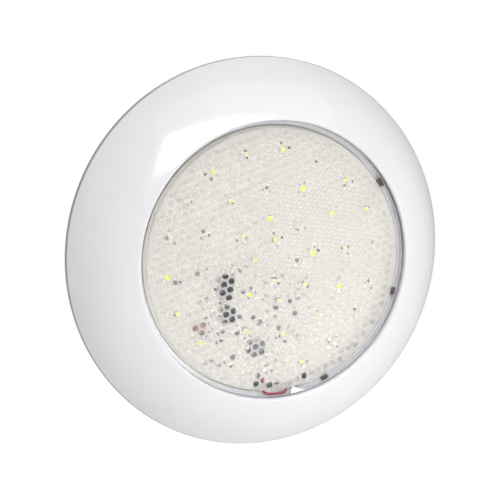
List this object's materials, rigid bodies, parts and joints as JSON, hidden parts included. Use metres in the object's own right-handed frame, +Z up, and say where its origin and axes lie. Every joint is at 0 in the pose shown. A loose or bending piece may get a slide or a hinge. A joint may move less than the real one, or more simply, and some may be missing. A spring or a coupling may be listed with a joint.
{
  "type": "underwater pool light",
  "caption": "Round wall-mounted underwater pool light: domed white surround, clear lens over an LED board, twist-on wall bracket, rear cable gland and lock screw.",
  "frame": {"origin": "centre of the wall bracket in the plane of the wall", "axes": "+Z up, -Y out of the wall towards the viewer, +X to the right seen from the front"},
  "size_m": [0.29, 0.0419, 0.29],
  "materials": {
    "white_abs": "glossy moulded white ABS",
    "solder_mask": "warm white solder mask on an aluminium board",
    "led_phosphor": "yellow phosphor in white packages",
    "black_moulding": "moulded epoxy",
    "ferrite": "grey ferrite",
    "brown_moulding": "brown moulded plastic",
    "lead_red": "red silicone sheath",
    "lead_green": "green silicone sheath",
    "lead_black": "black silicone sheath",
    "clear_polycarbonate": "clear polycarbonate with round lenslets",
    "white_silicone": "white silicone seal",
    "rubber": "black nitrile rubber",
    "stainless_steel": "stainless steel",
    "black_nylon": "moulded black nylon"
  },
  "bodies": {
    "bracket": {"wall_bracket": "white_abs", "bracket_collar": "white_abs"},
    "lamp": {"twist_ring": "white_abs", "rear_cover": "white_abs", "housing_ring": "white_abs", "led_board": "solder_mask", "bridge_rectifier": "black_moulding", "driver_chip": "black_moulding", "power_inductor": "ferrite", "film_capacitor": "brown_moulding", "sense_resistor": "black_moulding", "lead_green": "lead_green", "lead_red": "lead_red", "lead_black": "lead_black", "lens": "clear_polycarbonate", "lens_seal": "white_silicone", "lens_clamp_ring": "white_abs", "surround": "white_abs", "gland_body": "black_nylon", "gland_locknut": "black_nylon", "gland_o_ring": "rubber", "gland_grommet": "rubber", "leds_outer_string": "led_phosphor", "leds_middle_string": "led_phosphor", "leds_inner_string": "led_phosphor", "leds_centre_string": "led_phosphor", "board_clip_1": "brown_moulding", "board_clip_2": "brown_moulding", "board_clip_3": "brown_moulding", "clamp_screw_1": "stainless_steel", "clamp_screw_2": "stainless_steel", "clamp_screw_3": "stainless_steel", "clamp_screw_4": "stainless_steel", "clamp_screw_5": "stainless_steel", "clamp_screw_6": "stainless_steel", "surround_screw_1": "stainless_steel", "surround_screw_2": "stainless_steel", "surround_screw_3": "stainless_steel", "surround_screw_4": "stainless_steel"},
    "gland_clamp": {"gland_washer": "black_nylon"},
    "gland_cap": {"gland_nut": "black_nylon"},
    "lock_slide": {"lock_washer": "stainless_steel"},
    "lock_turn": {"lock_screw": "stainless_steel"}
  },
  "joints": [
    {"name": "lamp_twist", "type": "hinge", "parent": "bracket", "child": "lamp", "pos_m": [0, 0, 0], "axis": [0, -1, 0], "range_deg": [0, 24]},
    {"name": "gland_clamp_travel", "type": "slide", "parent": "lamp", "child": "gland_clamp", "axis": [0, 1, 0], "range_m": [0, 0.002]},
    {"name": "gland_nut_turn", "type": "hinge", "parent": "gland_clamp", "child": "gland_cap", "pos_m": [0, 0, 0], "axis": [0, 1, 0], "range_deg": [0, 720]},
    {"name": "lock_screw_travel", "type": "slide", "parent": "lamp", "child": "lock_slide", "axis": [0, 0, -1], "range_m": [0, 0.002]},
    {"name": "lock_screw_turn", "type": "hinge", "parent": "lock_slide", "child": "lock_turn", "pos_m": [0, -0.0036, -0.1], "axis": [0, 0, -1], "range_deg": [0, 1440]}
  ],
  "couplings": [
    {"joint": "gland_nut_turn", "follows": "gland_clamp_travel", "rad_per_m": 6283.2},
    {"joint": "lock_screw_turn", "follows": "lock_screw_travel", "rad_per_m": 12566}
  ]
}
